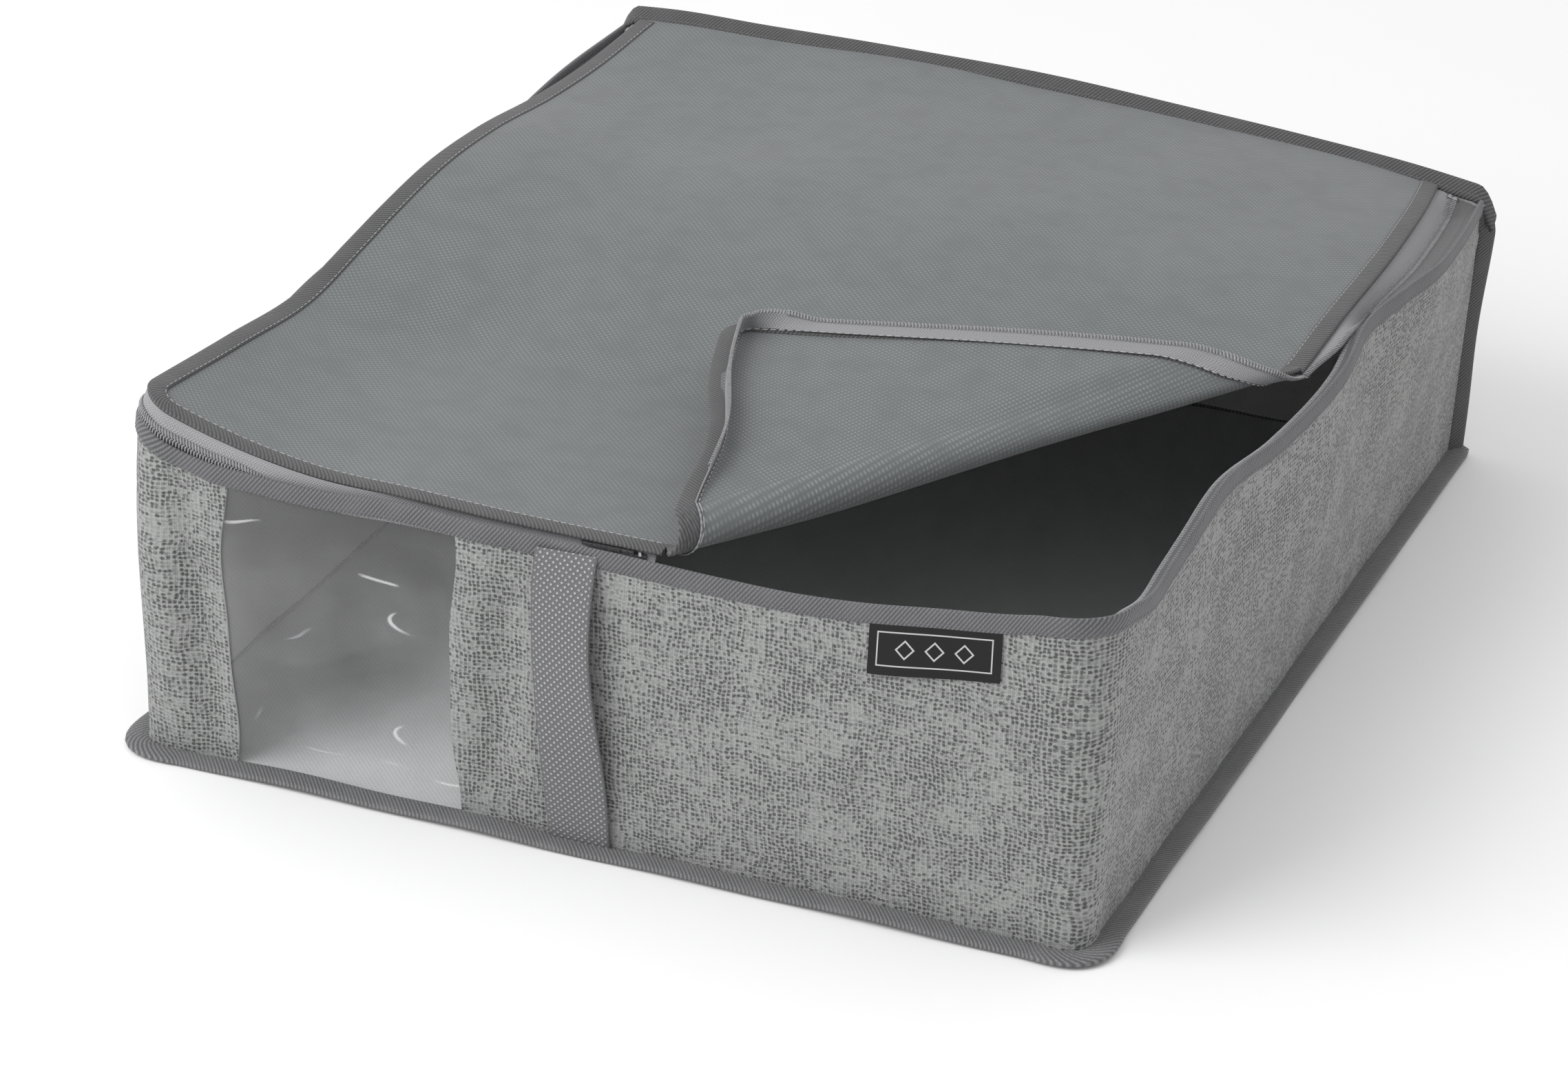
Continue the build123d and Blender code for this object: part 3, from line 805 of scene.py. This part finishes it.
def base_sheet():
    """Base cloth: a sheet inside the walls just off the floor, with low waves and two rounded corners."""
    gap = 0.5
    x = np.linspace(gap - WALL_X, WALL_X - gap, 90)[:, None]
    y = np.linspace(FRONT_Y + gap, BACK_Y - gap, 100)[None, :]
    x, y = x + 0 * y, y + 0 * x
    cx = np.sign(x) * (WALL_X - BASE_R)
    cy = FRONT_Y + BASE_R
    over = np.hypot(np.clip(np.abs(x) - np.abs(cx), 0, None), np.clip(cy - y, 0, None))
    pull = np.where(over > BASE_R - gap, (BASE_R - gap) / np.maximum(over, 1e-6), 1.0)
    x = np.where(pull < 1, cx + (x - cx) * pull, x)
    y = np.where(pull < 1, cy + (y - cy) * pull, y)
    z = 1.5 + 0.5 * np.sin(x / 41) * np.sin(y / 53)
    sheet = cloth(xyz(x, y, z), xyz(x, y))
    piece = make("base_sheet", [sheet], [base_cloth], "box", ["base_panel"])


base_sheet()


def base_ring():
    """Base binding: a puffed tape standing out flat all round, pushed out more at the front corners."""
    s = np.arange(-8, WALL_END + 8, RING_STEP)
    x, y, nx, ny = plan(np.clip(s, 0, WALL_END))
    y = y - np.where(s < 0, s, 0) + np.where(s > WALL_END, s - WALL_END, 0)
    out = RING_OUT + corner_push(s)
    line = xyz(x + nx * out, y + ny * out)
    back_x = np.arange(WALL_X + RING_OUT - 3, -WALL_X - RING_OUT + 2, -RING_STEP)
    back = xyz(back_x, np.full_like(back_x, BACK_Y + RING_OUT))
    line = np.concatenate([line[line[:, 1] < BACK_Y + RING_OUT], back])
    ahead = unit(np.roll(line, -1, 0) - np.roll(line, 1, 0))
    across = xyz(ahead[:, 1], -ahead[:, 0], 0 * ahead[:, 0])
    run = np.arange(len(line)) * RING_STEP
    wander = 0.25 * np.sin(run / 31) + 0.175 * np.sin(run / 13 + 1)
    z = FLANGE_T / 2 + 0.9 + 0.8 * np.sin(run / 47) * np.sin(run / 19)
    middle = np.column_stack([line, z]) + across * wander[:, None]
    up = np.zeros_like(middle) + UP
    ring = tube(middle, across, up, puffed(FLANGE + 1, FLANGE_T, 18), run, closed=True)
    rows = stitches(middle + across * -1.6 + up * (FLANGE_T / 2 - 0.1), across, up)
    make("base_edge_tape", [ring], [base_tape], "box", ["base_binding"])
    make("base_edge_stitches", [rows], [dark_thread], "box")


base_ring()


def rim_frame(s):
    """Rim at distance s: its top point, the way up the cloth there, and the way out of the cloth."""
    top = wall(s, np.ones_like(s))
    up = unit(top - wall(s, np.full_like(s, 0.95)))
    ahead = unit(np.gradient(top, axis=0))
    return top, up, unit(np.cross(ahead, up))


def rim():
    """Rim binding: a puffed tape folded over the walls' top edge, carried along it, with its stitches."""
    s = np.arange(0, WALL_END + 1, 2.2)
    top, up, out = rim_frame(s)
    line = top - up * 3.9 + out * 0.15
    tape = tube(line, up, out, puffed(8.2, 2.6, 18), s)
    make("rim_tape", [tape], [rim_tape], "box", ["rim_binding"])
    make("rim_stitches", [stitches(line - up * 2.0 + out * 1.2, up, out)], [dark_thread], "box")


rim()


def upright_fin(word, side):
    """Back corner binding: a puffed tape standing out slantwise, carried up the corner along its lean."""
    v = np.linspace(0.02, 1.0, 60)
    lean = (3 if side < 0 else 8) * v ** 1.4
    top = through(SEAM_KEYS, np.array([side * (WALL_X + 4)]))[0] - 6
    out = np.array([side, 1.0, 0]) / math.sqrt(2)
    line = xyz(side * (WALL_X + lean), np.full_like(v, BACK_Y), v * top)
    line = line + out * (3.6 - 2.6 * ease((v - 0.9) / 0.1) + 0.5 * np.sin(v * 9))[:, None]
    tape = tube(line, *beside(line, out), puffed(9, 2.6), lengths(line))
    make(word + "_corner_tape", [tape], [dark_tape], "box", ["back_corner_binding_" + word])


upright_fin("left", -1)
upright_fin("right", 1)


def back_seam():
    """Back seam binding: a puffed tape leaning back along the sloping top of the back wall."""
    x = np.linspace(-WALL_X - 6.5, WALL_X + 12.5, 190)
    over = np.clip(x - WALL_X - 4, 0, None) + np.clip(-x - WALL_X + 1, 0, None)
    z = through(SEAM_KEYS, x) - over ** 2 * 0.17
    y = BACK_Y + 1.6 + 0.6 * np.sin(x / 29)
    line = xyz(x, y, z + 1.2)
    across, up = beside(line, unit(np.array([0, 0.72, 0.7])))
    tape = tube(line, across, up, puffed(9, 2.8), lengths(line))
    make("back_seam_tape", [tape], [dark_tape], "box", ["back_top_binding"])
    rows = [stitches(line - across * 2 + up * lift, across, up) for lift in (1.3, -1.3)]
    make("back_seam_stitches", rows, [dark_thread], "box")


back_seam()

# ---- lid and its binding


def lid_cloth():
    """Lid cloth: a grid from the back seam to the front edge, and past the split to the line where the corner
    rolls over, at the lid's height."""
    left, right, low = LID_LOW_X + CLOTH_IN, LID_HIGH_X - CLOTH_IN, LID_LOW_Y + CLOTH_IN
    x0 = np.unique(np.concatenate([np.linspace(left, SPLIT_X, 76), np.linspace(SPLIT_X, right, 60)]))
    front = low + np.clip(x0 - SPLIT_X, 0, None) * (SPLIT_Y - low) / (right - SPLIT_X)
    v = np.linspace(0, 1, 130)[None, :]
    y = front[:, None] * (1 - v) + LID_HIGH_Y * v
    widen = WALL_X - through(INSET_KEYS, on_right(y)) - LID_HIGH_X
    share = np.clip(x0 / right, 0, 1)[:, None] ** 2
    x = x0[:, None] + share * widen * ease((y - SPLIT_Y) / 30)
    sheet = cloth(xyz(x, y, lid_height(x, y)), xyz(x, y))
    piece = make("lid_cloth", [sheet], [lid_top, lid_under], "lid", ["lid_panel"])


lid_cloth()


def corner_cloth():
    """Folded corner: the closed corner's triangle, ruled between its front and right edges, put through the
    fold."""
    c = np.array([LID_HIGH_X - CLOTH_IN, LID_LOW_Y + CLOTH_IN])
    a = np.array([SPLIT_X, c[1]])
    b = np.array([c[0], SPLIT_Y])
    near = np.concatenate([np.linspace(0, 0.2, 36), np.linspace(0.2, 0.985, 70)[1:]])[:, None, None]
    share = np.linspace(0, 1, 130)[None, :, None]
    flat = (a + near * (c - a)) * (1 - share) + (b + near * (c - b)) * share
    x, y = flat[..., 0], flat[..., 1]
    ripple = 0.8 * np.sin(x / 23 + y / 31) * near[..., 0]
    sheet = cloth(folded(x, y, ripple), xyz(x, y))
    piece = make("corner_cloth", [sheet], [lid_top, lid_under], stands_for=["corner_panel"],
                 bends=True)


corner_cloth()


def lid_line(s, inward):
    """A line along the lid's edge, that far inside it, with the way out of the edge."""
    x, y, nx, ny = lid_edge(s, inward)
    return xyz(x, y, lid_height(x, y)), xyz(nx, ny, 0 * nx)


def lid_binding():
    """Lid binding: a puffed tape along the lid's left and front edges to the split, and its right edge."""
    parts, rows = [], []
    for first, last in ((on_left(238), on_front(SPLIT_X) + 1), (on_right(SPLIT_Y), on_right(241))):
        s = np.arange(first, last, 2.2)
        line = lid_line(s, TAPE_W / 2)[0]
        across = unit(lid_line(s, 0.5)[0] - line)
        up = unit(np.cross(np.gradient(line, axis=0), -across))
        up = up * np.sign(up[:, 2:])
        parts.append(tube(line + up * 0.2, across, up, puffed(TAPE_W, TAPE_T), s))
        rows.append(stitches(line - across * 3.3 + up * 1.1, across, up, radius=0.2))
    make("lid_edge_tape", parts, [dark_tape], "lid", ["lid_binding"])
    make("lid_edge_stitches", rows, [thread], "lid")


lid_binding()


def on_corner(part):
    """A part laid out with its heights above the closed corner's cloth, put through the fold."""
    part["points"] = folded(*part["points"].T)
    return faced_out(**part)


CORNER_S = np.arange(on_front(SPLIT_X), on_right(SPLIT_Y) + 1, 1.6)
SWING = ease((CORNER_S - on_right(-232)) / 34)


def corner_binding():
    """Corner's binding: the lid's tape carried on round the closed corner and put through the fold."""
    x, y, nx, ny = lid_edge(CORNER_S, TAPE_W / 2)
    line = xyz(x, y, 0 * x + 0.2)
    across = xyz(nx, ny, 0 * nx)
    up = np.zeros_like(line) + UP
    tape = on_corner(tube(line, across, up, puffed(TAPE_W, TAPE_T), CORNER_S))
    make("corner_edge_tape", [tape], [dark_tape], stands_for=["corner_binding"],
         bends=True)
    rows = on_corner(stitches(line - across * 4.1 - up * (1.3 + 0.8 * SWING)[:, None], across, up))
    make("corner_edge_stitches", [rows], [thread], bends=True)


corner_binding()

# ---- zip


def closed_share(s):
    """1 where the zip is closed, 0 where it is open, with a short S curve between."""
    return 1 - ease((s - on_front(18)) / 18) + ease((s - on_right(50)) / 32)


def zip_lines(s):
    """Zip strip between rim and lid edge at distance s: where it starts inside the rim, where it starts under
    the lid, and the body's and lid's coil edges. Closed, it sags between the two by what it has to spare: the
    root of its half width squared less half the gap squared, kept above 0. It stands level where the lid is
    well above the rim. Open, each half hangs by its own edge."""
    top, up, out = rim_frame(s)
    rim_start = top - up * 3.0 - out * 1.3
    tucked = ease((s - on_front(-110)) / 50) * (1 - ease((s - on_right(-100)) / 50))
    edge, way = lid_line(s, 0.6 + 3.2 * tucked)
    lid_start = edge - UP
    wide = 17 + 3 * ease((s - on_right(70)) / 50)
    gap = np.linalg.norm(lid_start - rim_start, axis=1)
    spare = (wide ** 2 - gap ** 2) / 4
    sag = np.sqrt((spare + np.sqrt(spare ** 2 + 600)) / 2)
    far = ease((s - on_right(55)) / 50)
    ends = ease(s / 25) * ease((WALL_END - s) / 25)
    sag = 0.5 + (sag * (1 - far) + 6 * far - 0.5) * ends
    shown = ease((lid_start[:, 2] - rim_start[:, 2] - 5) / 7) * (1 - far)
    share = (0.42 + 0.18 * far)[:, None]
    middle = rim_start + (lid_start - rim_start) * share + way * (1.2 * shown)[:, None]
    middle = middle - UP * (sag * (1 - shown))[:, None]
    shut = closed_share(s)[:, None]
    body_open = rim_start - way * 4.0 - UP * 2.5
    reach = 2.5 + 4.5 * ease((s - on_right(SPLIT_Y)) / 35)
    lid_open = edge + way * reach[:, None] - UP * 2.0
    body_edge, lid_side = (middle * shut + end * (1 - shut) for end in (body_open, lid_open))
    return rim_start, lid_start, body_edge, lid_side


def ribbon(start, end, along, rows=7, belly=0.6):
    """Zip tape: a thin sheet ruled from one line to another, with a shallow half sine belly."""
    w = np.linspace(0, 1, rows)[None, :, None]
    grid = start[:, None] * (1 - w) + end[:, None] * w
    width = np.linalg.norm(end - start, axis=1)
    grid = grid + UP * belly * arch(w)
    pattern = xyz(along[:, None] + 0 * w[..., 0], width[:, None] * w[..., 0])
    return cloth(grid, pattern, 0.5)


def facing(normal, s):
    """The same normals, turned to the side that is up and out of the wall line at each distance s."""
    nx, ny = plan(s)[2:]
    side = normal[:, 0] * nx + normal[:, 1] * ny + normal[:, 2]
    return unit(normal) * np.where(side < 0, -1.0, 1.0)[:, None]


def zip_edge(s, which):
    """The body's half of the zip, 0, or the lid's, 1, at distance s: its start, its edge, the way back to the
    start, and the way off its face."""
    lines = zip_lines(s)
    start, edge = lines[which], lines[2 + which]
    toward = unit(start - edge)
    return start, edge, toward, facing(np.cross(unit(np.gradient(edge, axis=0)), toward), s)


def zip_half(side, s_runs, which, body, turn):
    """One half of the zip: its tape along the given runs, its coil on the edge, and a short puffed stop at
    each end."""
    tapes, coils = [], []
    for s in s_runs:
        start, edge, toward, up = zip_edge(s, which)
        tapes.append(ribbon(start, edge + toward * 0.2, s))
        coils.append(coil(edge + toward * 1.15 + up * 0.8, toward, up, turn=turn))
    weave = silver_tape if which else body_weave
    make(side + "_tape", tapes, [weave], body, [side + "_zip_tape"])
    make(side + "_coil", coils, [nylon], body, [side + "_zip_coil"])
    stops = []
    for first in (4, WALL_END - 7):
        s = first + np.linspace(0, 3, 5)
        _, edge, toward, up = zip_edge(s, which)
        stops.append(tube(edge + toward * 1.3 + up * 0.8, toward, up, puffed(3.2, 2.4, 10), s))
    make(side + "_end_stops", stops, [plated], body, [side + "_zip_stops"])


zip_half("body", [np.arange(3, WALL_END - 2, 2.0)], 0, "box", 0.0)
lid_runs = [np.arange(3, on_front(SPLIT_X) - 3, 2.0), np.arange(on_right(SPLIT_Y), WALL_END - 2, 2.0)]
zip_half("lid", lid_runs, 1, "lid", math.pi)


def corner_zip():
    """Corner's half of the zip. From the closed corner's front edge the tape hangs down under the binding,
    and round the corner its angle swings until it stands out from the right edge."""
    s = CORNER_S
    x, y, nx, ny = lid_edge(s, 0.0)
    angle = np.radians(104 - 96 * SWING)
    inward = 7.2 + 0.6 * SWING
    length = np.clip((s - s[0] - 16) * 0.16, 0.4, 6.0 + 1.8 * SWING)
    out = xyz(nx, ny, 0 * nx)
    start = xyz(x - nx * inward, y - ny * inward, 0 * x - 1.5)
    way = out * np.cos(angle)[:, None] - UP * np.sin(angle)[:, None]
    end = start + way * length[:, None]
    tape = on_corner(ribbon(start, end, s, belly=0.0))
    make("corner_tape", [tape], [silver_tape], stands_for=["corner_zip_tape"], bends=True)
    face = unit(np.cross(unit(np.gradient(end, axis=0)), way))
    face = face * np.where((face * (out - UP)).sum(1, keepdims=True) < 0, -1.0, 1.0)
    held = slice(24, None)
    middle = end + way * 0.4 + face * 0.5
    run = on_corner(coil(middle[held], way[held], face[held], turn=math.pi))
    make("corner_coil", [run], [nylon], stands_for=["corner_zip_coil"], bends=True)


corner_zip()

# ---- strap and label

STRAP_LOW_Z, STRAP_HIGH_Z, STRAP_RIM_Z = 2.5, 131.5, 134


def strap():
    """Carrying strap: a webbing ribbon from rim to base seam, bowed off the wall and wavering sideways."""
    middle_x = (strap_low[0] + strap_high[0]) / 2
    half = (strap_high[0] - strap_low[0]) / 2
    v = np.linspace(0, 1, 90)
    z = STRAP_LOW_Z + v * (STRAP_HIGH_Z - STRAP_LOW_Z)
    held, bow = 1.6, FRONT_Y - strap_low[1]
    off = held + (bow - held) * arch(v) ** 0.7
    s = np.full_like(v, on_front(middle_x))
    wall_y = wall(s, z / STRAP_RIM_Z)[:, 1]
    x = middle_x + 2.0 * np.sin(5.5 * v + 0.4) - 3.0 * (v - 0.5)
    line = xyz(x, wall_y - off, z)
    across, up = beside(line, unit(xyz(1 + 0 * v, 0.1 * np.sin(7 * v), 0 * v)))
    body = tube(line, across, up, puffed(2 * half, 1.7, 26, 6.0), z)
    make("carry_strap", [body], [strap_weave], "box", ["carrying_strap"])


strap()


def label():
    """Sewn label: a small sheet on the wall's front under the rim, standing off more towards its foot."""
    p = np.linspace(label_low[0], label_high[0], 50)[:, None]
    top = label_high[2] + 1.5
    z = np.linspace(label_low[2], top, 20)[None, :]
    p, z = p + 0 * z, z + 0 * p
    s = on_front(p)
    drop = (top - z) / 20
    at = wall(s, (z + (rim_height(s) - 136)) / rim_height(s))
    off = 0.7 + 0.9 * drop * (1 + 0.6 * np.sin(p / 9))
    grid = at - xyz(0 * off, off, 0 * off)
    middle = ((label_low + label_high) / 2)[[0, 2]]
    pattern = xyz(p - middle[0], z - middle[1] - 0.7)
    make("sewn_label", [cloth(grid, pattern, 0.45)], [label_satin], "box", ["side_label"])


label()

for node in ("left_slider", "left_pull", "right_slider", "right_pull"):
    materials = frame["nodes"][node].data.materials
    materials.clear()
    materials.append(plated)

# ---- floor, light and camera


def studio():
    """Pale floor, even white surroundings, and one large soft light from the front left and above."""
    bpy.ops.mesh.primitive_plane_add(size=30)
    floor = bpy.context.object
    floor.name = "studio_floor"
    ground = Finish("studio_floor_paint")
    where = ground.node("TexCoord").outputs["Object"]
    shade = ground.mix(ground.noise(where, 3.0), grey(0.9), grey(0.92))
    floor.data.materials.append(ground.done(shade, 0.9))
    world = bpy.data.worlds.new("studio_surroundings")
    world.use_nodes = True
    colour, strength = world.node_tree.nodes["Background"].inputs[:2]
    colour.default_value = (1, 1, 1, 1)
    strength.default_value = 0.85
    scene.world = world
    light = bpy.data.lights.new("soft_key", "AREA")
    light.energy = 36
    light.size = 1.6
    lamp = bpy.data.objects.new("soft_key", light)
    lamp.location = (-1.1, -1.5, 1.7)
    aim = np.array([0.0, 0.0, 0.05]) - np.array(lamp.location)
    lamp.rotation_euler = Vector(aim).to_track_quat("-Z", "Y").to_euler()
    scene.collection.objects.link(lamp)
    scene.view_settings.view_transform = "Standard"


studio()


def camera():
    """Camera above and to the right of the front, on a long lens."""
    azimuth, elevation, roll = (math.radians(a) for a in (22.745, 26.976, 0.754))
    level = math.cos(elevation)
    back = np.array([math.sin(azimuth) * level, -math.cos(azimuth) * level, math.sin(elevation)])
    right = unit(np.cross(-back, UP))
    up = np.cross(back, right)
    turned = math.cos(roll) * right + math.sin(roll) * up
    upright = math.cos(roll) * up - math.sin(roll) * right
    data = bpy.data.cameras.new("view")
    data.lens = 119.72
    data.clip_end = 50
    view = bpy.data.objects.new("view", data)
    place = np.eye(4)
    place[:3, :3] = np.stack([turned, upright, back], 1)
    place[:3, 3] = np.array([758.96, -1865.52, 1048.49]) * MM
    view.matrix_world = Matrix(place.tolist())
    scene.collection.objects.link(view)
    scene.camera = view


camera()
